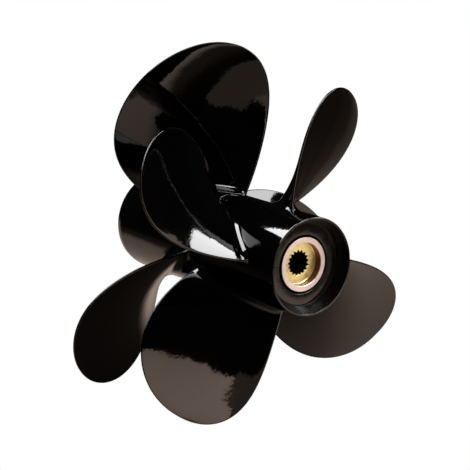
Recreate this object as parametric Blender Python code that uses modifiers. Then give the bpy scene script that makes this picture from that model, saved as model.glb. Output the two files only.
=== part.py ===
# Counter-rotating twin ship propeller: a three-bladed front propeller and a four-bladed aft propeller
# that turn opposite ways on one shaft line.
# Metres. +Y is forward along the shaft, +X is starboard, +Z is up. The origin is on the shaft line at the
# forward thrust face of the front propeller's sleeve, and the aft propeller lies towards -Y.
import bmesh
import bpy
import numpy as np
from math import radians

# Gap between pieces that touch in the real casting or are pressed together
SEAT_GAP = 0.0003
ROOT_GAP = 0.0005
WEB_CLEARANCE = 0.0006
SEGMENTS = 48

# Places along the shaft line
AFT_RIM_Y = -0.252
AFT_DISC_FACE_Y = -0.2386
AFT_NUT_FACE_Y = -0.2394
AFT_HUB_FRONT_Y = -0.124
SLEEVE_GAP_Y = -0.123
FRONT_HUB_AFT_Y = -0.122
FRONT_RIM_Y = 0.010
SLEEVE_RUNNING_GAP = 0.0005

# Aft hub: a straight barrel, drawn in a little near its thin rounded lip, and a conical recess inside the lip
AFT_HUB_RADIUS = 0.0500
AFT_LIP_RADIUS = 0.0494
AFT_BARREL_END_Y = -0.195
AFT_LIP_INNER_RADIUS = 0.0473
AFT_LIP_ROUND = 0.0018
AFT_DISC_RADIUS = 0.0419
AFT_DISC_THICKNESS = 0.005
HUB_WALL = 0.0042
EDGE_CHAMFER = 0.0012

# Front hub: a slightly fuller barrel that tapers to its forward rim
FRONT_HUB_AFT_RADIUS = 0.0502
FRONT_HUB_MID_RADIUS = 0.0515
FRONT_HUB_SHOULDER_RADIUS = 0.0510
FRONT_HUB_SHOULDER_Y = 0.003
FRONT_RIM_RADIUS = 0.0493

# Aft core: brass sleeve with an internal spline, rubber bush, inner barrel
SPLINE_TEETH = 17
AFT_SPLINE_MAJOR_RADIUS = 0.0123
AFT_SPLINE_MINOR_RADIUS = 0.0107
AFT_FLANGE_RADIUS = 0.0273
AFT_FLANGE_THICKNESS = 0.0120
AFT_COUNTERBORE_RADIUS = 0.0224
AFT_COUNTERBORE_DEPTH = 0.0065
AFT_SLEEVE_RADIUS = 0.0185
AFT_COLLAR_RADIUS = 0.0250
AFT_COLLAR_THICKNESS = 0.0060
AFT_RUBBER_RADIUS = 0.0293
AFT_BARREL_RADIUS = 0.0352
AFT_BARREL_FRONT_Y = -0.132
AFT_BUSH_FRONT_Y = -0.138

# Front core: the same build around a larger hollow shaft
FRONT_SPLINE_TEETH = 23
FRONT_SPLINE_MAJOR_RADIUS = 0.0205
FRONT_SPLINE_MINOR_RADIUS = 0.0186
FRONT_SLEEVE_RADIUS = 0.0270
FRONT_RUBBER_RADIUS = 0.0330
FRONT_BARREL_RADIUS = 0.0378
FRONT_BARREL_Y = (-0.116, -0.004)
FRONT_BUSH_INSET = 0.0015

# Webs between barrel and shell
WEB_THICKNESS = 0.006
WEB_INSET = 0.004
SPLINE_RELIEF = 0.0004
CUTTER_OVERRUN = 0.010

# Blades. The fraction runs from 0 at the root to 1 at the tip. Chord and skew are measured along the helix
# and are polynomials in the fraction, the constant term first; skew and rake are zero at the root.
# Phase is clockwise from 12 o'clock, seen from aft, and a hand of +1 drives forward when turning clockwise.
BLADE_EDGE = 0.0022
FILLET_RADIUS = 0.009
EDGE_FILLET = 0.0010
CAMBER = 0.020
FRONT_BLADE = {
    "count": 3, "phase": -8.75, "hand": -1, "centre_y": -0.0680,
    "root_radius": 0.0510, "tip_radius": 0.2024, "root_pitch": 0.516, "tip_pitch": 0.4925,
    "chord": (0.118, 0.121, -0.006), "tip_power": 2.755, "tip_fullness": 0.495,
    "skew": (0.0, 0.0077, -0.0002, -0.0386), "rake": (0.0, -0.0054, -0.0129),
    "root_thickness": 0.0125, "tip_thickness": 0.0036,
}
AFT_BLADE = {
    "count": 4, "phase": 37.0, "hand": 1, "centre_y": -0.1714,
    "root_radius": 0.0500, "tip_radius": 0.1855, "root_pitch": 0.494, "tip_pitch": 0.5085,
    "chord": (0.1015, 0.0645, 0.010), "tip_power": 3.175, "tip_fullness": 0.448,
    "skew": (0.0, 0.0154, -0.0154, -0.0020), "rake": (0.0, -0.0008, -0.0071),
    "root_thickness": 0.0115, "tip_thickness": 0.0034,
}
FACE_POINTS = 12
EDGE_POINTS = 2
FILLET_ROWS = (0.0, 0.10, 0.3, 0.6, 1.0)
SPAN_ROWS = 12
CAP_ROWS = 6
LAST_ROW = 0.9992
SMALLEST_HALF_CHORD = 0.0005


def clear_scene():
    for item in list(bpy.data.objects):
        bpy.data.objects.remove(item)


def new_collection(name):
    collection = bpy.data.collections.new(name)
    bpy.context.scene.collection.children.link(collection)
    return collection


def new_material(name, colour, roughness, metallic):
    material = bpy.data.materials.new(name)
    material.use_nodes = True
    shader = material.node_tree.nodes["Principled BSDF"]
    shader.inputs["Base Color"].default_value = (*colour, 1.0)
    shader.inputs["Roughness"].default_value = roughness
    shader.inputs["Metallic"].default_value = metallic
    return material


def add_object(name, mesh, collection, material):
    piece = bpy.data.objects.new(name, mesh)
    collection.objects.link(piece)
    if material is not None:
        mesh.materials.clear()
        mesh.materials.append(material)
    return piece


def turned(name, outline, collection, material):
    """A closed outline of (radius, Y) points, outer side first and running aft, turned round the shaft."""
    mesh = bpy.data.meshes.new(name)
    points = [(radius, 0.0, y) for radius, y in outline]
    edges = [(i, (i + 1) % len(points)) for i in range(len(points))]
    mesh.from_pydata(points, edges, [])
    piece = add_object(name, mesh, collection, material)
    piece.rotation_euler = (radians(-90), 0, 0)
    screw = piece.modifiers.new("turn", "SCREW")
    screw.axis = "Z"
    screw.steps = SEGMENTS
    screw.render_steps = SEGMENTS
    screw.use_merge_vertices = True
    screw.merge_threshold = 0.00001
    screw.use_smooth_shade = True
    return piece


def aft_hub_radius(y):
    """Outer radius of the aft hub at a place along the shaft."""
    return np.interp(y, [AFT_RIM_Y, AFT_BARREL_END_Y], [AFT_LIP_RADIUS, AFT_HUB_RADIUS])


def front_hub_radius(y):
    """Outer radius of the front hub at a place along the shaft."""
    middle = (FRONT_HUB_AFT_Y + FRONT_RIM_Y) / 2
    places = [FRONT_HUB_AFT_Y, middle, FRONT_HUB_SHOULDER_Y, FRONT_RIM_Y]
    radii = [FRONT_HUB_AFT_RADIUS, FRONT_HUB_MID_RADIUS, FRONT_HUB_SHOULDER_RADIUS, FRONT_RIM_RADIUS]
    return np.interp(y, places, radii)


def aft_hub_shell(collection, material):
    inner = AFT_HUB_RADIUS - HUB_WALL
    land_end_y = AFT_DISC_FACE_Y + AFT_DISC_THICKNESS
    lip_steps = np.radians([0, 30, 60, 90])
    lip = [(AFT_LIP_RADIUS - AFT_LIP_ROUND * (1 - float(np.cos(a))),
            AFT_RIM_Y + AFT_LIP_ROUND * (1 - float(np.sin(a)))) for a in lip_steps]
    outline = [
        (AFT_HUB_RADIUS - EDGE_CHAMFER, AFT_HUB_FRONT_Y),
        (AFT_HUB_RADIUS, AFT_HUB_FRONT_Y - EDGE_CHAMFER),
        (AFT_HUB_RADIUS, AFT_BARREL_END_Y),
        *lip,
        (AFT_LIP_INNER_RADIUS, AFT_RIM_Y),
        (AFT_DISC_RADIUS, AFT_DISC_FACE_Y),
        (AFT_DISC_RADIUS, land_end_y),
        (inner, land_end_y + inner - AFT_DISC_RADIUS),
        (inner, AFT_HUB_FRONT_Y),
    ]
    return turned("aft_hub_shell", outline, collection, material)


def front_hub_shell(collection, material):
    inner = FRONT_HUB_AFT_RADIUS - HUB_WALL
    middle = (FRONT_HUB_AFT_Y + FRONT_RIM_Y) / 2
    outline = [
        (FRONT_RIM_RADIUS - EDGE_CHAMFER, FRONT_RIM_Y),
        (FRONT_RIM_RADIUS, FRONT_RIM_Y - EDGE_CHAMFER),
        (FRONT_HUB_SHOULDER_RADIUS, FRONT_HUB_SHOULDER_Y),
        (FRONT_HUB_MID_RADIUS, middle),
        (FRONT_HUB_AFT_RADIUS, FRONT_HUB_AFT_Y + EDGE_CHAMFER),
        (FRONT_HUB_AFT_RADIUS - EDGE_CHAMFER, FRONT_HUB_AFT_Y),
        (inner, FRONT_HUB_AFT_Y),
        (inner, FRONT_RIM_Y),
    ]
    return turned("front_hub_shell", outline, collection, material)


def tube(name, outer, inner, low_y, high_y, collection, material):
    """A plain turned tube between two places along the shaft."""
    outline = [(outer, high_y), (outer, low_y), (inner, low_y), (inner, high_y)]
    return turned(name, outline, collection, material)


def spline_cutter(name, teeth, major, minor, low_y, high_y, collection):
    """A toothed prism: the space that the splined shaft fills, longer than the sleeve at both ends."""
    outline = []
    step = 2 * np.pi / teeth
    for tooth in range(teeth):
        centre = tooth * step
        outline.append((minor, centre - 0.34 * step))
        outline.append((major, centre - 0.20 * step))
        outline.append((major, centre + 0.20 * step))
        outline.append((minor, centre + 0.34 * step))
    mesh = bpy.data.meshes.new(name)
    shape = bmesh.new()
    low_ring = [shape.verts.new((r * np.sin(a), low_y, r * np.cos(a))) for r, a in outline]
    base = shape.faces.new(low_ring)
    grown = bmesh.ops.extrude_face_region(shape, geom=[base])
    moved = [item for item in grown["geom"] if isinstance(item, bmesh.types.BMVert)]
    bmesh.ops.translate(shape, verts=moved, vec=(0, high_y - low_y, 0))
    bmesh.ops.recalc_face_normals(shape, faces=shape.faces)
    shape.to_mesh(mesh)
    shape.free()
    cutter = add_object(name, mesh, collection, None)
    cutter.hide_render = True
    cutter.display_type = "WIRE"
    return cutter


def cut(piece, cutter):
    boolean = piece.modifiers.new("spline", "BOOLEAN")
    boolean.operation = "DIFFERENCE"
    boolean.solver = "EXACT"
    boolean.object = cutter


def aft_splined_sleeve(collection, cutters, material):
    """Flange with its counterbore, then the splined body, then a collar at the forward end."""
    seat_y = AFT_NUT_FACE_Y + AFT_COUNTERBORE_DEPTH
    front_y = SLEEVE_GAP_Y - SLEEVE_RUNNING_GAP / 2
    bore = AFT_SPLINE_MINOR_RADIUS - SPLINE_RELIEF
    flange_y = AFT_NUT_FACE_Y + AFT_FLANGE_THICKNESS
    collar_y = front_y - AFT_COLLAR_THICKNESS
    cone = AFT_COLLAR_RADIUS - AFT_SLEEVE_RADIUS
    bevel = EDGE_CHAMFER / 2
    outline = [
        (AFT_COLLAR_RADIUS, front_y),
        (AFT_COLLAR_RADIUS, collar_y),
        (AFT_SLEEVE_RADIUS, collar_y - cone),
        (AFT_SLEEVE_RADIUS, flange_y),
        (AFT_FLANGE_RADIUS, flange_y),
        (AFT_FLANGE_RADIUS, AFT_NUT_FACE_Y + bevel),
        (AFT_FLANGE_RADIUS - bevel, AFT_NUT_FACE_Y),
        (AFT_COUNTERBORE_RADIUS, AFT_NUT_FACE_Y),
        (AFT_COUNTERBORE_RADIUS - bevel, seat_y),
        (bore, seat_y),
        (bore, front_y),
    ]
    sleeve = turned("aft_splined_sleeve", outline, collection, material)
    cutter = spline_cutter("aft_spline_cutter", SPLINE_TEETH, AFT_SPLINE_MAJOR_RADIUS,
                           AFT_SPLINE_MINOR_RADIUS, seat_y - CUTTER_OVERRUN, front_y + CUTTER_OVERRUN, cutters)
    cut(sleeve, cutter)
    return sleeve


def front_splined_sleeve(collection, cutters, material):
    aft_y = SLEEVE_GAP_Y + SLEEVE_RUNNING_GAP / 2
    bore = FRONT_SPLINE_MINOR_RADIUS - SPLINE_RELIEF
    sleeve = tube("front_splined_sleeve", FRONT_SLEEVE_RADIUS, bore, aft_y, 0.0, collection, material)
    cutter = spline_cutter("front_spline_cutter", FRONT_SPLINE_TEETH, FRONT_SPLINE_MAJOR_RADIUS,
                           FRONT_SPLINE_MINOR_RADIUS, aft_y - CUTTER_OVERRUN, CUTTER_OVERRUN, cutters)
    cut(sleeve, cutter)
    return sleeve


def webs(prefix, count, phase, inner_radius, outer_radius, low_y, high_y, collection, material):
    """Flat webs between the inner barrel and the hub shell, one under each blade."""
    inner = inner_radius + WEB_CLEARANCE
    outer = outer_radius - WEB_CLEARANCE
    for index in range(count):
        bpy.ops.mesh.primitive_cube_add(size=1)
        web = bpy.context.object
        web.name = f"{prefix}_hub_web_{index + 1}"
        for corner in web.data.vertices:
            corner.co.x = corner.co.x * WEB_THICKNESS
            corner.co.y = (low_y + high_y) / 2 + corner.co.y * (high_y - low_y)
            corner.co.z = (inner + outer) / 2 + corner.co.z * (outer - inner)
        web.data.materials.append(material)
        web.rotation_euler = (0, radians(phase + 360 / count * index), 0)
        for holder in list(web.users_collection):
            holder.objects.unlink(web)
        collection.objects.link(web)


def polynomial(terms, fraction):
    """The sum of each term times the fraction to that term's power."""
    return sum(term * fraction ** power for power, term in enumerate(terms))


def blade_section(blade, fraction):
    """Half loops of one section, in the unrolled plane: along the chord and across it.

    The pressure half and the suction half have the same number of points, from trailing to leading edge.
    Half a thickness and the root fillet are laid off from the camber line, and each edge is a half round.
    """
    taper = (1 - fraction ** blade["tip_power"]) ** blade["tip_fullness"]
    chord = taper * polynomial(blade["chord"], fraction)
    skew = polynomial(blade["skew"], fraction)
    height = (blade["tip_radius"] - blade["root_radius"]) * fraction
    left = FILLET_RADIUS - min(height, FILLET_RADIUS)
    fillet = FILLET_RADIUS - (FILLET_RADIUS ** 2 - left ** 2) ** 0.5
    edge_radius = BLADE_EDGE / 2 + EDGE_FILLET * fillet / FILLET_RADIUS
    thickest = blade["root_thickness"] + (blade["tip_thickness"] - blade["root_thickness"]) * fraction
    across = np.sin(np.linspace(-1, 1, FACE_POINTS) * np.pi / 2)
    reach = max(chord / 2 - BLADE_EDGE / 2, SMALLEST_HALF_CHORD)
    bulge = 1 - across ** 2
    half = edge_radius + (thickest / 2 - BLADE_EDGE / 2) * bulge ** 0.75 * taper
    half = half + (fillet - (edge_radius - BLADE_EDGE / 2)) * np.clip(bulge * 3, 0, 1)
    camber = CAMBER * chord * bulge
    turn = np.linspace(0, np.pi / 2, EDGE_POINTS + 1)[:-1] + np.pi / 4 / EDGE_POINTS
    tail = -reach - edge_radius * np.cos(turn)
    nose = reach + edge_radius * np.cos(turn[::-1])
    lift = edge_radius * np.sin(turn)
    chordwise = np.concatenate([tail, across * reach, nose]) + skew
    pressure = np.concatenate([-lift, camber - half, -lift[::-1]])
    suction = np.concatenate([lift, camber + half, lift[::-1]])
    return chordwise, pressure, suction


def wrap(blade, fraction, chordwise, crosswise, hub_radius):
    """Lays a section on its cylinder round the shaft; the root row lies on the hub's own surface."""
    root, tip = blade["root_radius"], blade["tip_radius"]
    radius = root + (tip - root) * fraction
    pitch = blade["root_pitch"] + (blade["tip_pitch"] - blade["root_pitch"]) * fraction
    angle = np.arctan2(pitch, 2 * np.pi * radius)
    axial = chordwise * np.sin(angle) + crosswise * np.cos(angle)
    y = blade["centre_y"] + polynomial(blade["rake"], fraction) + axial
    run = blade["hand"] * (chordwise * np.cos(angle) - crosswise * np.sin(angle))
    seat = hub_radius(y) + ROOT_GAP
    reached = seat * (1 - fraction) + tip * fraction
    theta = run / radius
    return np.stack([reached * np.sin(theta), y, reached * np.cos(theta)], axis=-1)


def blade_mesh(name, blade, hub_radius):
    """A blade lofted through its sections, closed at the root on the hub and at the tip."""
    span = blade["tip_radius"] - blade["root_radius"]
    fillet_fractions = np.array(FILLET_ROWS) * FILLET_RADIUS / span
    spread = np.sin(np.linspace(0, 1, SPAN_ROWS)[1:] * np.pi / 2) * (LAST_ROW - fillet_fractions[-1])
    fractions = np.concatenate([fillet_fractions, fillet_fractions[-1] + spread])
    shape = bmesh.new()
    rings = []
    for fraction in fractions:
        chordwise, pressure, suction = blade_section(blade, fraction)
        low = wrap(blade, fraction, chordwise, pressure, hub_radius)
        high = wrap(blade, fraction, chordwise, suction, hub_radius)
        rings.append(([shape.verts.new(p) for p in low], [shape.verts.new(p) for p in high]))
    width = len(rings[0][0])
    for (low_a, high_a), (low_b, high_b) in zip(rings[:-1], rings[1:]):
        for i in range(width - 1):
            shape.faces.new((low_a[i], low_a[i + 1], low_b[i + 1], low_b[i]))
            shape.faces.new((high_a[i + 1], high_a[i], high_b[i], high_b[i + 1]))
        shape.faces.new((high_a[0], low_a[0], low_b[0], high_b[0]))
        shape.faces.new((low_a[-1], high_a[-1], high_b[-1], low_b[-1]))
    chordwise, pressure, suction = blade_section(blade, 0.0)
    rows = [rings[0][0]]
    for step in range(1, CAP_ROWS):
        share = step / CAP_ROWS
        middle = pressure * (1 - share) + suction * share
        rows.append([shape.verts.new(p) for p in wrap(blade, 0.0, chordwise, middle, hub_radius)])
    rows.append(rings[0][1])
    for row_a, row_b in zip(rows[:-1], rows[1:]):
        for i in range(width - 1):
            shape.faces.new((row_a[i], row_b[i], row_b[i + 1], row_a[i + 1]))
    low, high = rings[-1]
    for i in range(width - 1):
        shape.faces.new((low[i], low[i + 1], high[i + 1], high[i]))
    bmesh.ops.holes_fill(shape, edges=[edge for edge in shape.edges if edge.is_boundary])
    bmesh.ops.recalc_face_normals(shape, faces=shape.faces)
    bmesh.ops.triangulate(shape, faces=shape.faces)
    mesh = bpy.data.meshes.new(name)
    shape.to_mesh(mesh)
    shape.free()
    mesh.shade_smooth()
    mesh.set_sharp_from_angle(angle=radians(40))
    return mesh


def blades(prefix, blade, hub_radius, collection, material):
    mesh = blade_mesh(f"{prefix}_blade", blade, hub_radius)
    for index in range(blade["count"]):
        piece = add_object(f"{prefix}_blade_{index + 1}", mesh, collection, material)
        piece.rotation_euler = (0, radians(blade["phase"] + 360 / blade["count"] * index), 0)


clear_scene()
parts = new_collection("ship_propeller")
cutters = new_collection("cutters")
enamel = new_material("gloss_black_enamel", (0.008, 0.007, 0.007), 0.12, 0.0)
cast = new_material("black_cast_core", (0.012, 0.011, 0.010), 0.35, 0.0)
brass = new_material("sleeve_brass", (0.78, 0.60, 0.36), 0.28, 1.0)
rubber = new_material("bush_rubber", (0.012, 0.012, 0.012), 0.7, 0.0)

# Aft propeller
aft_disc_front_y = AFT_DISC_FACE_Y + AFT_DISC_THICKNESS
aft_inner_wall = AFT_HUB_RADIUS - HUB_WALL
aft_hub_shell(parts, enamel)
blades("aft", AFT_BLADE, aft_hub_radius, parts, enamel)
tube("aft_end_disc", AFT_DISC_RADIUS - SEAT_GAP, AFT_BARREL_RADIUS + SEAT_GAP,
     AFT_DISC_FACE_Y, aft_disc_front_y, parts, cast)
tube("aft_inner_barrel", AFT_BARREL_RADIUS, AFT_RUBBER_RADIUS + SEAT_GAP,
     AFT_DISC_FACE_Y, AFT_BARREL_FRONT_Y, parts, cast)
tube("aft_rubber_bush", AFT_RUBBER_RADIUS, AFT_SLEEVE_RADIUS + SEAT_GAP,
     AFT_NUT_FACE_Y + AFT_FLANGE_THICKNESS + SEAT_GAP, AFT_BUSH_FRONT_Y, parts, rubber)
aft_splined_sleeve(parts, cutters, brass)
webs("aft", AFT_BLADE["count"], AFT_BLADE["phase"], AFT_BARREL_RADIUS, aft_inner_wall,
     aft_disc_front_y + aft_inner_wall - AFT_DISC_RADIUS, AFT_BARREL_FRONT_Y - WEB_INSET, parts, cast)

# Front propeller
front_hub_shell(parts, enamel)
blades("front", FRONT_BLADE, front_hub_radius, parts, enamel)
front_barrel_aft_y, front_barrel_front_y = FRONT_BARREL_Y
tube("front_inner_barrel", FRONT_BARREL_RADIUS, FRONT_RUBBER_RADIUS + SEAT_GAP,
     front_barrel_aft_y, front_barrel_front_y, parts, cast)
tube("front_rubber_bush", FRONT_RUBBER_RADIUS, FRONT_SLEEVE_RADIUS + SEAT_GAP,
     front_barrel_aft_y + FRONT_BUSH_INSET, front_barrel_front_y - FRONT_BUSH_INSET, parts, rubber)
front_splined_sleeve(parts, cutters, brass)
webs("front", FRONT_BLADE["count"], FRONT_BLADE["phase"], FRONT_BARREL_RADIUS,
     FRONT_HUB_AFT_RADIUS - HUB_WALL, front_barrel_aft_y + WEB_INSET, front_barrel_front_y - WEB_INSET,
     parts, cast)
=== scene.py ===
import bpy
import numpy as np
from mathutils import Matrix


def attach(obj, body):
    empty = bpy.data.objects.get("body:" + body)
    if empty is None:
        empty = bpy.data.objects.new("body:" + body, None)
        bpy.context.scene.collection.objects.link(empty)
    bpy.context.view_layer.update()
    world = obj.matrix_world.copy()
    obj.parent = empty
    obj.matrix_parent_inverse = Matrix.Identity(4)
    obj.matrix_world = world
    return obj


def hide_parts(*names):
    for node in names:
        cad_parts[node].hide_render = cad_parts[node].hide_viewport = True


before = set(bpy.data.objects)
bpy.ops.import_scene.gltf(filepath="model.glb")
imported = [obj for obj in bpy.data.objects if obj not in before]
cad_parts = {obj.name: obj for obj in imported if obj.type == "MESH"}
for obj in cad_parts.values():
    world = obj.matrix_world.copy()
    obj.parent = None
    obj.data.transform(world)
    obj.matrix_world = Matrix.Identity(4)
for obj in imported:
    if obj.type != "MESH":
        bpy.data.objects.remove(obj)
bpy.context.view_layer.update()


# Aft hub shell: the barrel that carries the four aft blades, cast in aluminium in one with them and sprayed
# gloss black. Its aft end is turned to a thin round lip with a plain cone inside, down to the end disc.
aft_rim_y = -0.2520
aft_disc_face_y = -0.2386
aft_disc_depth = 0.0050
aft_hub_front_y = -0.1240
aft_hub_radius = 0.0500
aft_lip_radius = 0.0494
aft_lip_inner_radius = 0.0473
aft_barrel_end_y = -0.1950
aft_disc_radius = 0.0419
hub_wall = 0.0042
shell_land = 0.0016
sharp_edge_degrees = 35


def rounded_profile(corners, arc_steps=8):
    """A profile of (radius, y) points through corners (radius, y, rounding), each corner turned into an arc.

    The arc of radius R touches both sides of the corner. With d1 and d2 the unit directions from the corner
    to its neighbours and h half the angle between them, the arc starts and ends R / tan(h) along d1 and d2,
    and its centre lies R / sin(h) along d1 + d2. A rounding of 0 keeps the corner sharp, and so does a corner
    that is nearly straight. The first corner follows the last.
    """
    nearly_straight = np.radians(89)
    corners = np.array(corners, float)
    spots, roundings = corners[:, :2], corners[:, 2]
    before = np.roll(spots, 1, axis=0) - spots
    after = np.roll(spots, -1, axis=0) - spots
    before /= np.linalg.norm(before, axis=1, keepdims=True)
    after /= np.linalg.norm(after, axis=1, keepdims=True)
    pieces = []
    for spot, to_last, to_next, radius in zip(spots, before, after, roundings):
        half = np.arccos(np.clip(to_last @ to_next, -1, 1)) / 2
        if radius == 0 or half > nearly_straight:
            pieces.append(spot[None])
            continue
        middle = to_last + to_next
        centre = spot + middle / np.linalg.norm(middle) * radius / np.sin(half)
        start = spot + to_last * radius / np.tan(half) - centre
        end = spot + to_next * radius / np.tan(half) - centre
        share = np.linspace(0, 1, arc_steps + 1)[:, None]
        sweep = np.pi - 2 * half
        bend = (np.sin((1 - share) * sweep) * start + np.sin(share * sweep) * end) / np.sin(sweep)
        pieces.append(centre + bend)
    return np.concatenate(pieces)


def grid_mesh(name, points, wrap_rows=True, wrap_columns=True, pole=None):
    """A mesh on a grid of points, rows by columns by 3, with faces that point outwards.

    Face (i, j) joins points (i, j), (i, j + 1), (i + 1, j + 1) and (i + 1, j), and the last row or column
    joins the first where it wraps. A pole is one more point that closes the last row with a fan. The mesh is
    closed, so the sum of a . (b x c) over its triangles is six times its volume: where that is negative, all
    faces turn. Edges that bend by more than sharp_edge_degrees look sharp.
    """
    rows, columns = points.shape[:2]
    count = rows * columns
    index = np.arange(count).reshape(rows, columns)
    if wrap_rows:
        index = np.vstack([index, index[:1]])
    if wrap_columns:
        index = np.hstack([index, index[:, :1]])
    corners = [index[:-1, :-1], index[:-1, 1:], index[1:, 1:], index[1:, :-1]]
    quads = np.stack([c.ravel() for c in corners], axis=1)
    spots = points.reshape(-1, 3)
    if pole is None:
        fan = np.empty((0, 3), int)
    else:
        spots = np.vstack([spots, pole])
        rim = index[-1]
        fan = np.stack([rim[:-1], rim[1:], np.full(len(rim) - 1, count)], axis=1)
    triangles = np.vstack([quads[:, [0, 1, 2]], quads[:, [0, 2, 3]], fan])
    a, b, c = (spots[triangles[:, k]] for k in range(3))
    if (a * np.cross(b, c)).sum() < 0:
        quads = quads[:, ::-1]
        fan = fan[:, ::-1]
    mesh = bpy.data.meshes.new(name)
    mesh.from_pydata(spots, [], quads.tolist() + fan.tolist())
    mesh.validate()
    mesh.shade_smooth()
    mesh.set_sharp_from_angle(angle=np.radians(sharp_edge_degrees))
    return mesh


def show(name, mesh, material, body, slot, *nodes):
    """Puts a finished mesh into the scene as the piece that stands for those CAD nodes."""
    piece = bpy.data.objects.new(name, mesh)
    bpy.context.scene.collection.objects.link(piece)
    mesh.materials.append(material)
    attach(piece, body)
    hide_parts(*nodes)
    return piece


def turned(profile, columns=288):
    """Points of a profile of (radius, y) turned round the shaft: (r sin t, y, r cos t) for t once round."""
    turn = np.arange(columns) / columns * 2 * np.pi
    radius, y = profile[:, :1], profile[:, 1:]
    return np.stack([radius * np.sin(turn), y + 0 * turn, radius * np.cos(turn)], axis=-1)


def add_node(tree, kind, **values):
    """A node with its properties or, by name, its input values set."""
    node = tree.nodes.new(kind)
    for name, value in values.items():
        label = name.replace("_", " ")
        if label in node.inputs:
            node.inputs[label].default_value = value
        else:
            setattr(node, name, value)
    return node


def cast_surface_group():
    """Node group for a painted casting: long shallow waves, a finer ripple, and mottling from 0 to 1.

    Both are noise on the object's own coordinates; a length of L metres is a noise scale of 1 / L.
    """
    tree = bpy.data.node_groups.new("cast_surface", "ShaderNodeTree")
    sockets = tree.interface
    for label in ("Wave Length", "Wave Depth", "Ripple Length", "Ripple Depth", "Mottle Length"):
        sockets.new_socket(label, in_out="INPUT", socket_type="NodeSocketFloat")
    sockets.new_socket("Normal", in_out="OUTPUT", socket_type="NodeSocketVector")
    sockets.new_socket("Mottle", in_out="OUTPUT", socket_type="NodeSocketFloat")
    given = add_node(tree, "NodeGroupInput")
    result = add_node(tree, "NodeGroupOutput")
    place = add_node(tree, "ShaderNodeTexCoord")
    normal = None
    for label, detail in (("Wave", 1.0), ("Ripple", 2.0), ("Mottle", 3.0)):
        scale = add_node(tree, "ShaderNodeMath", operation="DIVIDE")
        scale.inputs[0].default_value = 1.0
        tree.links.new(given.outputs[f"{label} Length"], scale.inputs[1])
        noise = add_node(tree, "ShaderNodeTexNoise", Detail=detail, Roughness=0.5)
        tree.links.new(place.outputs["Object"], noise.inputs["Vector"])
        tree.links.new(scale.outputs["Value"], noise.inputs["Scale"])
        if label == "Mottle":
            tree.links.new(noise.outputs["Fac"], result.inputs["Mottle"])
            continue
        bump = add_node(tree, "ShaderNodeBump")
        tree.links.new(noise.outputs["Fac"], bump.inputs["Height"])
        tree.links.new(given.outputs[f"{label} Depth"], bump.inputs["Distance"])
        if normal is not None:
            tree.links.new(normal, bump.inputs["Normal"])
        normal = bump.outputs["Normal"]
    tree.links.new(normal, result.inputs["Normal"])
    return tree


def finished(name, group, roughness, colours, metallic=0.0, **values):
    """A material on one of the node groups: its mottling leads from one colour and roughness to the other.

    The mottling is noise, which seldom leaves the range from low_noise to high_noise.
    """
    low_noise, high_noise = 0.3, 0.7
    material = bpy.data.materials.new(name)
    material.use_nodes = True
    tree = material.node_tree
    shader = tree.nodes["Principled BSDF"]
    shader.inputs["Metallic"].default_value = metallic
    surface = add_node(tree, "ShaderNodeGroup", node_tree=group)
    for label, value in values.items():
        surface.inputs[label.replace("_", " ").title()].default_value = value
    dull = add_node(tree, "ShaderNodeMapRange", From_Min=low_noise, From_Max=high_noise,
                    To_Min=roughness[0], To_Max=roughness[1])
    tint = add_node(tree, "ShaderNodeMix", data_type="RGBA")
    tint.inputs["A"].default_value = (*colours[0], 1)
    tint.inputs["B"].default_value = (*colours[1], 1)
    tree.links.new(surface.outputs["Mottle"], dull.inputs["Value"])
    tree.links.new(surface.outputs["Mottle"], tint.inputs["Factor"])
    tree.links.new(dull.outputs["Result"], shader.inputs["Roughness"])
    tree.links.new(tint.outputs["Result"], shader.inputs["Base Color"])
    tree.links.new(surface.outputs["Normal"], shader.inputs["Normal"])
    return material


cast_surface = cast_surface_group()
enamel = finished("black_enamel", cast_surface, (0.03, 0.07),
                  ((0.0005, 0.0004, 0.0004), (0.0010, 0.0008, 0.0007)),
                  wave_length=0.030, wave_depth=0.00030, ripple_length=0.0045, ripple_depth=0.00004,
                  mottle_length=0.040)

aft_land_end_y = aft_disc_face_y + aft_disc_depth
aft_bore_radius = aft_hub_radius - hub_wall
aft_shell_profile = rounded_profile([
    (aft_hub_radius, aft_hub_front_y, 0.0010),
    (aft_hub_radius, aft_barrel_end_y, 0),
    (aft_lip_radius, aft_rim_y, 0.0014),
    (aft_lip_inner_radius, aft_rim_y, 0.0005),
    (aft_disc_radius, aft_disc_face_y, 0.0011),
    (aft_disc_radius - shell_land, aft_disc_face_y, 0),
    (aft_disc_radius - shell_land, aft_land_end_y, 0),
    (aft_disc_radius, aft_land_end_y, 0),
    (aft_bore_radius, aft_land_end_y + aft_bore_radius - aft_disc_radius, 0.0010),
    (aft_bore_radius, aft_hub_front_y, 0.0006),
])
aft_shell = show("aft_shell", grid_mesh("aft_shell", turned(aft_shell_profile)), enamel,
                 "aft_propeller", "gloss_black_enamel", "aft_hub_shell")


# Aft blades: four, cast in one with the hub, right-handed. Each is a screw surface: sections lie on cylinders
# round the shaft, with round edges all along the outline and a fillet that runs out tangent to the hub.
blade_edge_radius = 0.0011
fillet_radius = 0.0090
edge_fillet = 0.0010
blade_camber = 0.020
body_fullness = 0.75
fillet_spread = 3
root_sink = 0.00004
face_columns = 84
fillet_rows = 14
span_rows = 96
aft_blade = {
    "count": 4, "phase": 37.0, "hand": 1, "centre_y": -0.1714,
    "root_radius": 0.0500, "tip_radius": 0.1855, "root_pitch": 0.494, "tip_pitch": 0.5085,
    "chord": (0.1015, 0.0645, 0.010), "tip_power": 3.175, "tip_fullness": 0.448,
    "skew": (0.0, 0.0154, -0.0154, -0.0020), "rake": (0.0, -0.0008, -0.0071),
    "root_thickness": 0.0115, "tip_thickness": 0.0034,
}


def polynomial(terms, fraction):
    """The sum of each term times the fraction to that term's power."""
    return sum(term * fraction ** power for power, term in enumerate(terms))


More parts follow.
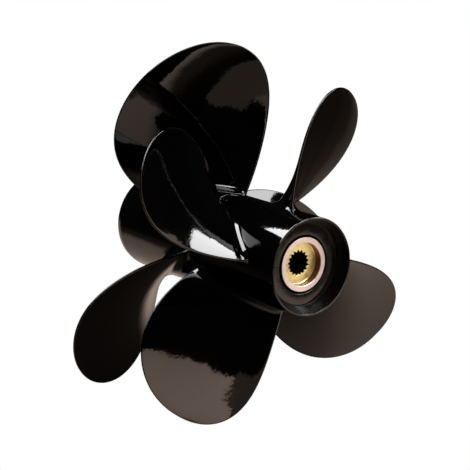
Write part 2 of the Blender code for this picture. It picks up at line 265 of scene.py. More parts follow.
def slope(terms, fraction):
    """The slope of that polynomial."""
    return sum(power * term * fraction ** (power - 1) for power, term in enumerate(terms) if power)


def inside_outline(blade, fraction, across):
    """How far a point of the blade lies inside its outline, in metres.

    With u the fraction of the span, p the tip power, q its fullness and z the share of the full chord from
    the middle line, the outline is where g = 1 - u^p - z^(1/q) is zero, and the distance is g over its slope.
    """
    power, fullness = blade["tip_power"], blade["tip_fullness"]
    span = blade["tip_radius"] - blade["root_radius"]
    chord = polynomial(blade["chord"], fraction)
    taper = (1 - fraction ** power) ** fullness
    share = np.abs(across) * taper
    value = (1 - fraction ** power) * (1 - np.abs(across) ** (1 / fullness))
    steepness = share ** (1 / fullness - 1) / fullness
    sideways = 2 * steepness / chord
    drift = -2 * np.sign(across) * slope(blade["skew"], fraction) / chord
    drift = drift - share * slope(blade["chord"], fraction) / chord
    outwards = (power * fraction ** (power - 1) + steepness * drift) / span
    return value / np.sqrt(sideways ** 2 + outwards ** 2)


def blade_points(blade, hub_profile, turn):
    """Points of a blade: rows from root to tip, columns along the pressure face and back on the suction face.

    At fraction u of the span and place s across the chord c(u), a point lies a = skew(u) + s c(u) / 2 along
    the helix and w = camber -+ half thickness across it. With f the helix angle atan(pitch / (2 pi r)), that
    is y = centre + rake(u) + a sin f + w cos f along the shaft and hand (a cos f - w sin f) / r round it. The
    half thickness is the round edge, plus a body that falls as 1 - s^2 to the power of its fullness, plus the
    fillet R - sqrt(R^2 - (R - h)^2) at height h over the hub, which runs out before the blade's edges.
    """
    root, tip = blade["root_radius"], blade["tip_radius"]
    span = tip - root
    fillet_turn = np.linspace(0, np.pi / 2, fillet_rows)
    low = fillet_radius * (1 - np.cos(fillet_turn)) / span
    high = low[-1] + (1 - low[-1]) * np.sin(np.linspace(0, 1, span_rows)[1:-1] * np.pi / 2)
    fraction = np.concatenate([low, high])[:, None]
    across = np.sin(np.linspace(-1, 1, face_columns) * np.pi / 2)[None]
    taper = (1 - fraction ** blade["tip_power"]) ** blade["tip_fullness"]
    chord = taper * polynomial(blade["chord"], fraction)
    bulge = 1 - across ** 2
    depth = np.minimum(inside_outline(blade, fraction, across), blade_edge_radius)
    edge = np.sqrt(blade_edge_radius ** 2 - (blade_edge_radius - depth) ** 2)
    thickest = blade["root_thickness"] + (blade["tip_thickness"] - blade["root_thickness"]) * fraction
    body = (thickest / 2 - blade_edge_radius) * bulge ** body_fullness * taper
    left = fillet_radius - np.minimum(span * fraction, fillet_radius)
    fillet = fillet_radius - np.sqrt(fillet_radius ** 2 - left ** 2)
    flare = fillet * np.sin(np.clip(bulge * fillet_spread, 0, 1) * np.pi / 2)
    half = edge + body + flare
    along = polynomial(blade["skew"], fraction) + across * (chord / 2 + edge_fillet * fillet / fillet_radius)
    camber = blade_camber * chord * bulge
    along = np.hstack([along, along[:, -2:0:-1]])
    cross = np.hstack([camber - half, (camber + half)[:, -2:0:-1]])
    radius = root + span * fraction
    pitch = blade["root_pitch"] + (blade["tip_pitch"] - blade["root_pitch"]) * fraction
    angle = np.arctan2(pitch, 2 * np.pi * radius)
    middle_y = blade["centre_y"] + polynomial(blade["rake"], fraction)
    y = middle_y + along * np.sin(angle) + cross * np.cos(angle)
    swing = blade["hand"] * (along * np.cos(angle) - cross * np.sin(angle)) / radius + turn
    seat = np.interp(y, hub_profile[0], hub_profile[1]) - root_sink
    reached = seat * (1 - fraction) + tip * fraction
    return np.stack([reached * np.sin(swing), y, reached * np.cos(swing)], axis=-1)


def blade_mesh(name, blade, hub_profile, turn):
    """The blade's grid, closed at the tip by a pole and at the root by two rows that run in to its middle."""
    points = blade_points(blade, hub_profile, turn)
    under = points[0].mean(axis=0)
    middle = np.repeat(under[None, None], points.shape[1], axis=1)
    halfway = points[:1] + (under - points[:1]) / 2
    closed = np.concatenate([middle, halfway, points])
    return grid_mesh(name, closed, wrap_rows=False, pole=points[-1].mean(axis=0))


aft_hub_line = ([aft_rim_y, aft_barrel_end_y], [aft_lip_radius, aft_hub_radius])
for number in range(aft_blade["count"]):
    turn = np.radians(aft_blade["phase"] + 360 / aft_blade["count"] * number)
    node = f"aft_blade_{number + 1}"
    show(f"aft_blade_skin_{number + 1}", blade_mesh(node, aft_blade, aft_hub_line, turn), enamel,
         "aft_propeller", "gloss_black_enamel", node)


# Aft end disc: the flat ring that closes the aft hub round the bush, cast in one with it and painted satin
# black. It meets the shell at the foot of the cone, with a turned edge round the bush.
aft_disc_inner_radius = 0.0296
disc_overlap = 0.0004
disc_proud = 0.00002
lip_turn_in = 0.0004
disc_colours = ((0.002, 0.0018, 0.0016), (0.004, 0.003, 0.003))
disc_paint = finished("satin_disc_paint", cast_surface, (0.07, 0.13), disc_colours,
                      wave_length=0.012, wave_depth=0.00003, ripple_length=0.0020, ripple_depth=0.00002,
                      mottle_length=0.008)
lip_paint = finished("dull_lip_paint", cast_surface, (0.22, 0.32), disc_colours,
                     wave_length=0.012, wave_depth=0.00012, ripple_length=0.0015, ripple_depth=0.00005,
                     mottle_length=0.008)
lip_paint.node_tree.nodes["Principled BSDF"].inputs["Specular IOR Level"].default_value = 0.13


def second_finish(piece, material, chosen):
    """Gives the faces whose middle is chosen by its (radius, y) another finish."""
    mesh = piece.data
    middles = np.empty(len(mesh.polygons) * 3)
    mesh.polygons.foreach_get("center", middles)
    x, y, z = middles.reshape(-1, 3).T
    indices = np.empty(len(mesh.polygons), int)
    mesh.polygons.foreach_get("material_index", indices)
    indices[chosen(np.hypot(x, z), y)] = len(mesh.materials)
    mesh.materials.append(material)
    mesh.polygons.foreach_set("material_index", indices)


aft_disc_edge_radius = aft_disc_radius - shell_land + disc_overlap
aft_disc_profile = rounded_profile([
    (aft_disc_edge_radius, aft_disc_face_y + disc_proud, 0),
    (aft_disc_inner_radius, aft_disc_face_y + disc_proud, 0.0007),
    (aft_disc_inner_radius, aft_land_end_y, 0.0003),
    (aft_disc_edge_radius, aft_land_end_y, 0),
])
show("aft_disc", grid_mesh("aft_disc", turned(aft_disc_profile)), disc_paint,
     "aft_propeller", "black_cast_core", "aft_end_disc")
second_finish(aft_shell, lip_paint,
              lambda radius, y: (radius < aft_lip_inner_radius - lip_turn_in) & (y < aft_land_end_y))


# Aft inner barrel: the tube inside the hub that the bush is pressed into, part of the same casting and left
# with its cast skin under a thin coat of black.
inner_columns = 160
aft_barrel_radius = 0.0352
aft_barrel_front_y = -0.1320
barrel_seam = 0.0001
core_paint = finished("cast_core_paint", cast_surface, (0.35, 0.50),
                      ((0.006, 0.005, 0.005), (0.016, 0.014, 0.012)),
                      wave_length=0.015, wave_depth=0.00040, ripple_length=0.0018, ripple_depth=0.00015,
                      mottle_length=0.010)


def tube_profile(outer, inner, low_y, high_y, rounding):
    """The profile of a plain tube with rounded edges."""
    return rounded_profile([(outer, high_y, rounding), (outer, low_y, rounding),
                            (inner, low_y, rounding), (inner, high_y, rounding)])


aft_barrel_profile = tube_profile(aft_barrel_radius, aft_disc_inner_radius, aft_land_end_y + barrel_seam,
                                  aft_barrel_front_y, 0.0008)
show("aft_barrel", grid_mesh("aft_barrel", turned(aft_barrel_profile, inner_columns)), core_paint,
     "aft_propeller", "black_cast_core", "aft_inner_barrel")


# Aft webs: four flat ribs, one under each blade, that carry the blades' pull to the inner barrel. They are
# cast with it, with a fillet where they run into the barrel and into the shell.
web_half_thickness = 0.0030
web_fillet = 0.0030
web_inset = 0.0040
web_squareness = 8
web_rows = 25
web_columns = 64
web_sink = 0.0004


def turned_by(points, turn):
    """Points turned round the shaft: x' = x cos t + z sin t, z' = z cos t - x sin t."""
    x, y, z = points[..., 0], points[..., 1], points[..., 2]
    return np.stack([x * np.cos(turn) + z * np.sin(turn), y, z * np.cos(turn) - x * np.sin(turn)], axis=-1)


def web_mesh(name, inner, outer, low_y, high_y, turn):
    """A rib from the inner to the outer radius, closed by a pole at each end.

    At distance d from either end the half thickness grows by the fillet R - sqrt(R^2 - (R - d)^2), and the
    outline round it is a squared oval: half the size times the cosine or sine to the power 2 / n.
    """
    radius = inner + (outer - inner) * (1 - np.cos(np.linspace(0, np.pi, web_rows))) / 2
    from_end = np.minimum(radius - inner, outer - radius)
    left = web_fillet - np.minimum(from_end, web_fillet)
    half = web_half_thickness + web_fillet - np.sqrt(web_fillet ** 2 - left ** 2)
    round_it = np.linspace(0, 2 * np.pi, web_columns, endpoint=False)
    side = np.sign(np.cos(round_it)) * np.abs(np.cos(round_it)) ** (2 / web_squareness)
    along = np.sign(np.sin(round_it)) * np.abs(np.sin(round_it)) ** (2 / web_squareness)
    x = half[:, None] * side
    y = (low_y + high_y) / 2 + (half[:, None] - web_half_thickness + (high_y - low_y) / 2) * along
    z = radius[:, None] + 0 * x
    local = np.stack([x, y, z], axis=-1)
    ends = np.repeat(local[:1].mean(axis=1, keepdims=True), len(round_it), axis=1)
    local = np.concatenate([ends, local])
    points = turned_by(local, turn)
    return grid_mesh(name, points, wrap_rows=False, pole=points[-1].mean(axis=0))


aft_web_low_y = aft_land_end_y + aft_bore_radius - aft_disc_radius
aft_web_high_y = aft_barrel_front_y - web_inset
for number in range(aft_blade["count"]):
    turn = np.radians(aft_blade["phase"] + 360 / aft_blade["count"] * number)
    node = f"aft_hub_web_{number + 1}"
    web = web_mesh(node, aft_barrel_radius - web_sink, aft_bore_radius + web_sink,
                   aft_web_low_y, aft_web_high_y, turn)
    show(f"aft_web_{number + 1}", web, core_paint, "aft_propeller", "black_cast_core", node)


# Aft rubber bush: a thick ring of black rubber moulded between the brass sleeve and the inner barrel, which
# gives way if a blade strikes something. Its ends are hollowed a little, as moulded rubber shrinks.
aft_rubber_radius = 0.0293
aft_sleeve_radius = 0.0185
aft_nut_face_y = -0.2394
aft_flange_depth = 0.0120
aft_bush_front_y = -0.1380
rubber_gap = 0.0003
bush_hollow = 0.0012
rubber = finished("bush_rubber", cast_surface, (0.60, 0.80), ((0.006, 0.006, 0.006), (0.014, 0.013, 0.013)),
                  wave_length=0.010, wave_depth=0.00015, ripple_length=0.0010, ripple_depth=0.00006,
                  mottle_length=0.006)


def bush_profile(outer, inner, low_y, high_y, steps=12):
    """A ring's profile with hollowed ends: at share s of the wall, an end lies 4 s (1 - s) hollows in."""
    share = np.linspace(0, 1, steps)
    radius = outer + (inner - outer) * share
    dip = bush_hollow * 4 * share * (1 - share)
    low_end = np.stack([radius, low_y + dip], axis=1)
    high_end = np.stack([radius, high_y - dip], axis=1)
    return np.concatenate([low_end, high_end[::-1]])


aft_bush_profile = bush_profile(aft_rubber_radius, aft_sleeve_radius + rubber_gap,
                                aft_nut_face_y + aft_flange_depth + rubber_gap, aft_bush_front_y)
show("aft_bush", grid_mesh("aft_bush", turned(aft_bush_profile, inner_columns)), rubber,
     "aft_propeller", "bush_rubber", "aft_rubber_bush")


# Aft splined sleeve: turned from brass, with a pale faced ring, a counterbore for the washer and 17 broached
# teeth that fit the inner shaft. It is bonded into the rubber bush. The teeth are near black, and the
# flange's side in the gap round the ring and the counterbore wall are darkened with painted shade.
aft_teeth = 17
aft_spline_major_radius = 0.0127
aft_spline_minor_radius = 0.0109
aft_flange_radius = 0.0273
aft_counterbore_radius = 0.0218
aft_counterbore_depth = 0.0082
aft_collar_radius = 0.0250
aft_collar_depth = 0.0060
sleeve_gap_y = -0.1230
sleeve_running_gap = 0.0005
spline_relief = 0.0003
tooth_base, tooth_tip = 0.66, 0.06
tooth_columns = 20
mouth_chamfer = 0.0004
wall_taper = 0.0004
foot_step = 0.0005
ring_finish_depth = 0.0008
edge_margin = 0.0003
face_margin = 0.0002


def splined_points(profile, teeth, depth):
    """Points of a turned profile of (radius, y, share), where the share says how far the teeth stand inwards.

    A tooth is a trapezoid on the share of its pitch p: with base b and tip t, its height is the depth times
    (b / 2 - |p - 1/2|) / (b / 2 - t / 2), kept between 0 and 1.
    """
    columns = teeth * tooth_columns
    turn = np.arange(columns) / columns * 2 * np.pi
    pitch = (np.arange(columns) % tooth_columns) / tooth_columns
    height = np.clip((tooth_base / 2 - np.abs(pitch - 0.5)) / (tooth_base / 2 - tooth_tip / 2), 0, 1)
    radius = profile[:, :1] - profile[:, 2:] * depth * height
    return np.stack([radius * np.sin(turn), profile[:, 1:2] + 0 * radius, radius * np.cos(turn)], axis=-1)


def with_share(profile, share):
    """A profile of (radius, y) with the same share of teeth all along."""
    return np.column_stack([profile, np.full(len(profile), share)])


def turned_metal_group():
    """Node group for metal off a lathe: fine rings round the shaft, and mottling from 0 to 1.

    The rings are a sine of the distance from the shaft, plus the place along it, over their pitch.
    """
    tree = bpy.data.node_groups.new("turned_metal", "ShaderNodeTree")
    sockets = tree.interface
    for label in ("Ring Pitch", "Ring Depth", "Mottle Length"):
        sockets.new_socket(label, in_out="INPUT", socket_type="NodeSocketFloat")
    sockets.new_socket("Normal", in_out="OUTPUT", socket_type="NodeSocketVector")
    sockets.new_socket("Mottle", in_out="OUTPUT", socket_type="NodeSocketFloat")
    given = add_node(tree, "NodeGroupInput")
    result = add_node(tree, "NodeGroupOutput")
    place = add_node(tree, "ShaderNodeTexCoord")
    flat = add_node(tree, "ShaderNodeVectorMath", operation="MULTIPLY")
    flat.inputs[1].default_value = (1, 0, 1)
    radius = add_node(tree, "ShaderNodeVectorMath", operation="LENGTH")
    apart = add_node(tree, "ShaderNodeSeparateXYZ")
    reach = add_node(tree, "ShaderNodeMath", operation="ADD")
    turns = add_node(tree, "ShaderNodeMath", operation="DIVIDE")
    angle = add_node(tree, "ShaderNodeMath", operation="MULTIPLY")
    angle.inputs[1].default_value = 2 * np.pi
    wave = add_node(tree, "ShaderNodeMath", operation="SINE")
    bump = add_node(tree, "ShaderNodeBump")
    scale = add_node(tree, "ShaderNodeMath", operation="DIVIDE")
    scale.inputs[0].default_value = 1.0
    noise = add_node(tree, "ShaderNodeTexNoise", Detail=3.0)
    tree.links.new(place.outputs["Object"], flat.inputs[0])
    tree.links.new(place.outputs["Object"], apart.inputs["Vector"])
    tree.links.new(place.outputs["Object"], noise.inputs["Vector"])
    tree.links.new(flat.outputs["Vector"], radius.inputs[0])
    tree.links.new(radius.outputs["Value"], reach.inputs[0])
    tree.links.new(apart.outputs["Y"], reach.inputs[1])
    tree.links.new(reach.outputs["Value"], turns.inputs[0])
    tree.links.new(given.outputs["Ring Pitch"], turns.inputs[1])
    tree.links.new(turns.outputs["Value"], angle.inputs[0])
    tree.links.new(angle.outputs["Value"], wave.inputs[0])
    tree.links.new(wave.outputs["Value"], bump.inputs["Height"])
    tree.links.new(given.outputs["Ring Depth"], bump.inputs["Distance"])
    tree.links.new(given.outputs["Mottle Length"], scale.inputs[1])
    tree.links.new(scale.outputs["Value"], noise.inputs["Scale"])
    tree.links.new(noise.outputs["Fac"], result.inputs["Mottle"])
    tree.links.new(bump.outputs["Normal"], result.inputs["Normal"])
    return tree


turned_metal = turned_metal_group()
brass = finished("turned_brass", turned_metal, (0.25, 0.40),
                 ((0.90, 0.84, 0.36), (0.96, 0.92, 0.48)),
                 metallic=1.0, ring_pitch=0.0009, ring_depth=0.00003, mottle_length=0.004)
faced_brass = finished("faced_brass", turned_metal, (0.35, 0.50),
                       ((0.86, 0.80, 0.84), (0.92, 0.86, 0.88)),
                       metallic=1.0, ring_pitch=0.0007, ring_depth=0.00002, mottle_length=0.004)
# Dark red-brown brass for the counterbore wall: painted shade inside the bore.
painted_shade_brass = finished("painted_shade_brass", turned_metal, (0.30, 0.45),
                           ((0.14, 0.05, 0.035), (0.36, 0.16, 0.10)),
                           metallic=1.0, ring_pitch=0.0008, ring_depth=0.00004, mottle_length=0.003)
# Near black: on the spline teeth, and as painted shade on the flange's side in the gap round the faced ring.
dark_spline_and_gap_shade = finished("dark_spline_and_gap_shade_finish", cast_surface, (0.45, 0.60),
                   ((0.004, 0.003, 0.003), (0.012, 0.009, 0.006)),
                   wave_length=0.004, wave_depth=0.00010, ripple_length=0.0010, ripple_depth=0.00003,
                   mottle_length=0.003)

aft_sleeve_front_y = sleeve_gap_y - sleeve_running_gap / 2
aft_seat_y = aft_nut_face_y + aft_counterbore_depth
aft_flange_y = aft_nut_face_y + aft_flange_depth
aft_collar_y = aft_sleeve_front_y - aft_collar_depth
aft_wall_foot_radius = aft_counterbore_radius - wall_taper
aft_outside = with_share(rounded_profile([
    (aft_spline_major_radius + spline_relief, aft_sleeve_front_y, 0),
    (aft_collar_radius, aft_sleeve_front_y, 0.0008),
    (aft_collar_radius, aft_collar_y, 0.0008),
    (aft_sleeve_radius, aft_collar_y - aft_collar_radius + aft_sleeve_radius, 0.0010),
    (aft_sleeve_radius, aft_flange_y, 0.0005),
    (aft_flange_radius, aft_flange_y, 0.0005),
    (aft_flange_radius, aft_nut_face_y, 0.0005),
    (aft_counterbore_radius + mouth_chamfer, aft_nut_face_y, 0),
]), 0)
aft_counterbore = with_share(rounded_profile([
    (aft_counterbore_radius, aft_nut_face_y + mouth_chamfer, 0),
    (aft_wall_foot_radius, aft_seat_y - foot_step, 0),
    (aft_wall_foot_radius - foot_step, aft_seat_y - foot_step, 0.0002),
    (aft_wall_foot_radius - 2 * foot_step, aft_seat_y, 0.0002),
    (aft_spline_major_radius + spline_relief, aft_seat_y, 0),
]), 0)
aft_bore = with_share(np.array([
    (aft_spline_major_radius, aft_seat_y + spline_relief),
    (aft_spline_major_radius, aft_sleeve_front_y - spline_relief),
]), 1)
aft_sleeve_profile = np.concatenate([aft_outside, aft_counterbore, aft_bore])
aft_sleeve_points = splined_points(aft_sleeve_profile, aft_teeth,
                                   aft_spline_major_radius - aft_spline_minor_radius)
aft_sleeve = show("aft_sleeve", grid_mesh("aft_sleeve", aft_sleeve_points), brass,
                  "aft_propeller", "sleeve_brass", "aft_splined_sleeve")
second_finish(aft_sleeve, faced_brass,
              lambda radius, y: (radius > aft_counterbore_radius) & (y < aft_nut_face_y + ring_finish_depth))
# The flange's side in the gap round the faced ring: painted shade.
second_finish(aft_sleeve, dark_spline_and_gap_shade,
              lambda radius, y: (radius > aft_flange_radius - edge_margin)
              & (y > aft_nut_face_y + edge_margin))
# The counterbore wall takes the dark brass as painted shade.
second_finish(aft_sleeve, painted_shade_brass,
              lambda radius, y: (radius < aft_counterbore_radius) & (y > aft_nut_face_y + face_margin)
              & (y < aft_seat_y - foot_step - face_margin))
# The spline teeth are near black.
second_finish(aft_sleeve, dark_spline_and_gap_shade,
              lambda radius, y: (radius < aft_spline_major_radius + spline_relief / 3)
              & (y > aft_seat_y + face_margin) & (y < aft_sleeve_front_y - face_margin))


# Front hub shell: a slightly fuller barrel that tapers to its forward rim, cast in one with the front blades.
front_hub_aft_y = -0.1220
front_rim_y = 0.0100
front_shoulder_y = 0.0030
front_hub_aft_radius = 0.0502
front_hub_mid_radius = 0.0515
front_shoulder_radius = 0.0510
front_rim_radius = 0.0493
front_middle_y = (front_hub_aft_y + front_rim_y) / 2
front_bore_radius = front_hub_aft_radius - hub_wall
front_shell_profile = rounded_profile([
    (front_rim_radius, front_rim_y, 0.0012),
    (front_shoulder_radius, front_shoulder_y, 0.0150),
    (front_hub_mid_radius, front_middle_y, 0.2),
    (front_hub_aft_radius, front_hub_aft_y, 0.0010),
    (front_bore_radius, front_hub_aft_y, 0.0006),
    (front_bore_radius, front_rim_y, 0.0006),
])
show("front_shell", grid_mesh("front_shell", turned(front_shell_profile)), enamel,
     "front_propeller", "gloss_black_enamel", "front_hub_shell")


# Front blades: three, larger and left-handed, made as the aft ones are.
front_blade = {
    "count": 3, "phase": -8.75, "hand": -1, "centre_y": -0.0680,
    "root_radius": 0.0510, "tip_radius": 0.2024, "root_pitch": 0.516, "tip_pitch": 0.4925,
    "chord": (0.118, 0.121, -0.006), "tip_power": 2.755, "tip_fullness": 0.495,
    "skew": (0.0, 0.0077, -0.0002, -0.0386), "rake": (0.0, -0.0054, -0.0129),
    "root_thickness": 0.0125, "tip_thickness": 0.0036,
}
front_hub_line = ([front_hub_aft_y, front_middle_y, front_shoulder_y, front_rim_y],
                  [front_hub_aft_radius, front_hub_mid_radius, front_shoulder_radius, front_rim_radius])
for number in range(front_blade["count"]):
    turn = np.radians(front_blade["phase"] + 360 / front_blade["count"] * number)
    node = f"front_blade_{number + 1}"
    show(f"front_blade_skin_{number + 1}", blade_mesh(node, front_blade, front_hub_line, turn), enamel,
         "front_propeller", "gloss_black_enamel", node)


# Front inner barrel and webs: the same tube and ribs in the front hub, three ribs for three blades. The ducts
# between them are open at both ends, and the exhaust runs through them.
front_barrel_radius = 0.0378
front_rubber_radius = 0.0330
front_barrel_aft_y, front_barrel_front_y = -0.1160, -0.0040
front_barrel_profile = tube_profile(front_barrel_radius, front_rubber_radius + rubber_gap, front_barrel_aft_y,
                                    front_barrel_front_y, 0.0010)
show("front_barrel", grid_mesh("front_barrel", turned(front_barrel_profile, inner_columns)), core_paint,
     "front_propeller", "black_cast_core", "front_inner_barrel")
for number in range(front_blade["count"]):
    turn = np.radians(front_blade["phase"] + 360 / front_blade["count"] * number)
    node = f"front_hub_web_{number + 1}"
    web = web_mesh(node, front_barrel_radius - web_sink, front_bore_radius + web_sink,
                   front_barrel_aft_y + web_inset, front_barrel_front_y - web_inset, turn)
    show(f"front_web_{number + 1}", web, core_paint, "front_propeller", "black_cast_core", node)


# Front rubber bush: the same moulded ring round the larger sleeve of the outer shaft.
front_sleeve_radius = 0.0270
front_bush_inset = 0.0015
front_bush_profile = bush_profile(front_rubber_radius, front_sleeve_radius + rubber_gap,
                                  front_barrel_aft_y + front_bush_inset,
                                  front_barrel_front_y - front_bush_inset)
show("front_bush", grid_mesh("front_bush", turned(front_bush_profile, inner_columns)), rubber,
     "front_propeller", "bush_rubber", "front_rubber_bush")


# Front splined sleeve: a plain brass tube with 23 broached teeth for the outer, hollow shaft.
front_teeth = 23
front_spline_major_radius = 0.0205
front_spline_minor_radius = 0.0186
front_sleeve_aft_y = sleeve_gap_y + sleeve_running_gap / 2
front_outside = with_share(rounded_profile([
    (front_spline_major_radius + spline_relief, 0.0, 0),
    (front_sleeve_radius, 0.0, 0.0006),
    (front_sleeve_radius, front_sleeve_aft_y, 0.0006),
    (front_spline_major_radius + spline_relief, front_sleeve_aft_y, 0),
]), 0)
front_bore = with_share(np.array([
    (front_spline_major_radius, front_sleeve_aft_y + spline_relief),
    (front_spline_major_radius, -spline_relief),
]), 1)
front_sleeve_points = splined_points(np.concatenate([front_outside, front_bore]), front_teeth,
                                     front_spline_major_radius - front_spline_minor_radius)
front_sleeve = show("front_sleeve", grid_mesh("front_sleeve", front_sleeve_points), brass,
                    "front_propeller", "sleeve_brass", "front_splined_sleeve")
second_finish(front_sleeve, dark_spline_and_gap_shade,
              lambda radius, y: (radius < front_spline_major_radius + spline_relief / 3)
              & (y < -face_margin) & (y > front_sleeve_aft_y + face_margin))


# Floor, light and camera: a plain pale floor just under the blade tips that glows with painted light in
# reflections, three softboxes overhead, a warm card on the right with a dim one under it, a far card and a
# black flag in front, the cards glowing with painted light, and the camera at the photograph's viewing angle.
floor_z = -0.2060
camera_azimuth, camera_elevation, camera_roll = np.radians([-37.47, 13.628, 0.138])
camera_distance = 2.0453
camera_focal_pixels = 2101.8
photo_pixels = 470
view_shift_level, view_shift_upright = -0.07487, 0.03114
warm_tint = np.array([1.0, 0.77, 0.63])

toward_camera = np.array([np.sin(camera_azimuth), -np.cos(camera_azimuth), 0.0])
level = np.array([np.cos(camera_azimuth), np.sin(camera_azimuth), 0.0])
stage_centre = np.array([0.0, -0.13, 0.0])


def heading(degrees):
    """A level direction: toward the camera at 0 and to the camera's right at 90 degrees."""
    return toward_camera * np.cos(np.radians(degrees)) + level * np.sin(np.radians(degrees))


def white_to_camera(tree, light, plain, output):
    """Shows the plain shader where the camera looks straight at it, and the light to everything else."""
    path = add_node(tree, "ShaderNodeLightPath")
    choice = add_node(tree, "ShaderNodeMixShader")
    tree.links.new(path.outputs["Is Camera Ray"], choice.inputs["Fac"])
    tree.links.new(light, choice.inputs[1])
    tree.links.new(plain, choice.inputs[2])
    tree.links.new(choice.outputs["Shader"], output.inputs["Surface"])


def paper(name, glow, *fades, shadow=None):
    """White paper: plain white where the camera sees it, and glowing with painted light in reflections.

    Each fade is a direction with pairs of (distance along it, share of the glow), a painted falloff. A shadow
    is
    a painted shadow: a centre, the radius where it is full, the radius where it ends and the share of light
    left in it.
    radius where it is full, the radius where it ends and the share of light that is left in it.
    """
    material = bpy.data.materials.new(name)
    material.use_nodes = True
    tree = material.node_tree
    tree.nodes.clear()
    place = add_node(tree, "ShaderNodeTexCoord")
    # The glow is painted light: its strength comes from the place on the panel, not from the lamps.
    painted_glow = add_node(tree, "ShaderNodeEmission", Color=(*warm_tint, 1), Strength=glow)
    shares = []
    for direction, stops in fades:
        start, end = stops[0][0], stops[-1][0]
        reach = add_node(tree, "ShaderNodeVectorMath", operation="DOT_PRODUCT")
        reach.inputs[1].default_value = direction
        along = add_node(tree, "ShaderNodeMapRange", From_Min=start, From_Max=end)
        ramp = add_node(tree, "ShaderNodeValToRGB")
        while len(ramp.color_ramp.elements) < len(stops):
            ramp.color_ramp.elements.new(0.5)
        for element, (distance, share) in zip(ramp.color_ramp.elements, stops):
            element.position = (distance - start) / (end - start)
            element.color = (share, share, share, 1)
        tree.links.new(place.outputs["Object"], reach.inputs[0])
        tree.links.new(reach.outputs["Value"], along.inputs["Value"])
        tree.links.new(along.outputs["Result"], ramp.inputs["Fac"])
        shares.append(ramp.outputs["Color"])
    if shadow is not None:
        centre, full_radius, end_radius, depth = shadow
        around = add_node(tree, "ShaderNodeVectorMath", operation="DISTANCE")
        around.inputs[1].default_value = centre
        shade = add_node(tree, "ShaderNodeMapRange", interpolation_type="SMOOTHSTEP",
                         From_Min=full_radius, From_Max=end_radius, To_Min=depth)
        tree.links.new(place.outputs["Object"], around.inputs[0])
        tree.links.new(around.outputs["Value"], shade.inputs["Value"])
        shares.append(shade.outputs["Result"])
    light = None
    for share in shares:
        product = add_node(tree, "ShaderNodeMath", operation="MULTIPLY")
        if light is None:
            product.inputs[0].default_value = glow
        else:
            tree.links.new(light, product.inputs[0])
        tree.links.new(share, product.inputs[1])
        light = product.outputs["Value"]
        tree.links.new(light, painted_glow.inputs["Strength"])
    plain = add_node(tree, "ShaderNodeEmission")
    output = add_node(tree, "ShaderNodeOutputMaterial")
    white_to_camera(tree, painted_glow.outputs["Emission"], plain.outputs["Emission"], output)
    return material


def panel(name, corners, material, seen=True):
    """A flat stage panel through its corners, with its place in its mesh."""
    mesh = bpy.data.meshes.new(name)
    mesh.from_pydata([tuple(corner) for corner in corners], [], [tuple(range(len(corners)))])
    mesh.materials.append(material)
    piece = bpy.data.objects.new(name, mesh)
    piece.visible_camera = seen
    bpy.context.scene.collection.objects.link(piece)
    return piece


# The floor glows with painted light, brightest on the right. It ends in the dark in front and on the far
# right, falls off towards the back and the left, and has a painted shadow of the object under it. Distances
# are from the origin.
floor_reach = 12.0
to_front = (0, [(-1.0, 1.0), (0.46, 1.0), (0.54, 0.10), (3.5, 0.10)])
to_right = (85, [(-1.5, 0.2), (-0.9, 0.4), (-0.1, 0.42), (0.12, 0.50), (0.24, 0.55), (0.31, 0.90),
                 (0.75, 1.0), (0.90, 0.9), (0.95, 0.05), (1.5, 0.05)])
to_back = (150, [(0.20, 1.0), (0.33, 0.5), (0.42, 0.20), (0.52, 0.05), (0.70, 0.02), (1.2, 0.01)])
to_front_left = (-45, [(0.19, 1.0), (0.27, 0.15), (0.50, 0.02)])
floor_fades = [(heading(degrees), stops) for degrees, stops in (to_front, to_right, to_back, to_front_left)]
# A painted shadow of the object on the floor under it.
shadow_centre = stage_centre + 0.08 * heading(185) + (0, 0, floor_z)
shadow_full_radius, shadow_end_radius, light_in_shadow = 0.12, 0.24, 0.04
floor_shadow = (shadow_centre, shadow_full_radius, shadow_end_radius, light_in_shadow)
floor_glow = 1.5
floor_corners = [(x, y, floor_z) for x, y in floor_reach * np.array([(-1, -1), (1, -1), (1, 1), (-1, 1)])]
panel("floor", floor_corners, paper("floor_paper", floor_glow, *floor_fades, shadow=floor_shadow))


def upright_card(name, facing, distance, outline, glow, fade=None):
    """A card across a heading, through (sideways, height) corners, glowing with painted light, seen only in
    reflections.
    """
    fades = [] if fade is None else [fade]
    foot = stage_centre + distance * heading(facing)
    corners = [foot + side * heading(facing + 90) + (0, 0, height) for side, height in outline]
    return panel(name, corners, paper(f"{name}_paper", glow, *fades), seen=False)


card_facing = 57
card_left, card_right, card_foot = -1.10, 1.20, 0.17
warm_outline = [(-1.12, card_foot), (-1.08, 0.33), (-0.95, 0.50), (-0.80, 0.57), (0.12, 0.60), (0.18, 0.86),
                (card_right, 0.86), (card_right, card_foot)]
# The warm card's glow falls off upwards and the dim card's to one side: painted falloffs.
warm_fade = ((0, 0, 1), [(0.20, 1.0), (0.60, 0.65), (0.85, 0.5)])
dim_outline = [(card_left, floor_z), (card_left, card_foot), (card_right, card_foot), (card_right, floor_z)]
dim_fade = (heading(card_facing + 90), [(-1.13, 1.0), (-0.89, 0.45)])
far_outline = [(0.17, floor_z), (0.17, 0.03), (1.50, 0.03), (1.50, floor_z)]
flag_outline = [(-1.20, floor_z), (-1.20, 0.27), (0.06, 0.27), (0.06, floor_z)]
upright_card("warm_card", facing=card_facing, distance=1.25, outline=warm_outline, glow=2.8, fade=warm_fade)
upright_card("dim_card", facing=card_facing, distance=1.27, outline=dim_outline, glow=0.8, fade=dim_fade)
upright_card("far_card", facing=0, distance=0.86, outline=far_outline, glow=0.36)
upright_card("black_flag", facing=0, distance=0.33, outline=flag_outline, glow=0.01)


# Three softboxes overhead, two on the right and one on the left: lamps behind white cloth.
softbox_height = 1.3
softbox_brightness = 14


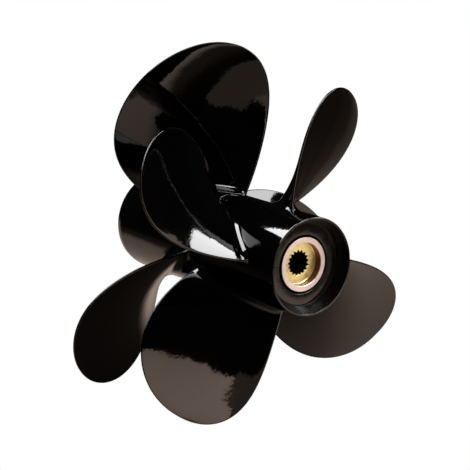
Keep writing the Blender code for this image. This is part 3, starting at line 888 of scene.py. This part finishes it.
def softbox(name, left, right, front, back):
    """A level lamp, its edges given as shares of its height, to the right and away from the camera."""
    lamp = bpy.data.lights.new(name, "AREA")
    lamp.shape = "RECTANGLE"
    lamp.size = (right - left) * softbox_height
    lamp.size_y = (back - front) * softbox_height
    lamp.energy = softbox_brightness * lamp.size * lamp.size_y * np.pi
    box = bpy.data.objects.new(name, lamp)
    across = (left + right) / 2 * heading(90)
    away = (front + back) / 2 * heading(180)
    box.location = stage_centre + softbox_height * (across + away + (0, 0, 1))
    box.rotation_euler = (0, 0, camera_azimuth)
    box.visible_camera = False
    bpy.context.scene.collection.objects.link(box)


softbox("right_softbox", left=0.98, right=1.75, front=-0.05, back=0.72)
softbox("near_softbox", left=0.45, right=1.00, front=-0.47, back=-0.02)
softbox("left_softbox", left=-1.05, right=-0.12, front=-0.22, back=0.62)

sky_brightness = 0.005
world = bpy.context.scene.world or bpy.data.worlds.new("studio")
bpy.context.scene.world = world
world.use_nodes = True
world.node_tree.nodes.clear()
sky = add_node(world.node_tree, "ShaderNodeBackground", Color=(*[sky_brightness] * 3, 1))
bright = add_node(world.node_tree, "ShaderNodeBackground", Color=(1, 1, 1, 1))
world_output = add_node(world.node_tree, "ShaderNodeOutputWorld")
white_to_camera(world.node_tree, sky.outputs["Background"], bright.outputs["Background"], world_output)
bpy.context.scene.view_settings.view_transform = "Standard"

back = toward_camera * np.cos(camera_elevation) + np.array([0.0, 0.0, np.sin(camera_elevation)])
upright = np.cross(back, level)
right = level * np.cos(camera_roll) + upright * np.sin(camera_roll)
up = upright * np.cos(camera_roll) - level * np.sin(camera_roll)
target = np.array([0.0, aft_rim_y, 0.0]) + view_shift_level * level + view_shift_upright * upright
camera = bpy.data.objects.new("camera", bpy.data.cameras.new("camera"))
camera.data.sensor_width = 36
camera.data.lens = camera_focal_pixels / photo_pixels * camera.data.sensor_width
camera.data.clip_end = 50
place = np.column_stack([right, up, back, target + camera_distance * back])
camera.matrix_world = Matrix(place.tolist() + [[0, 0, 0, 1]])
bpy.context.scene.collection.objects.link(camera)
bpy.context.scene.camera = camera
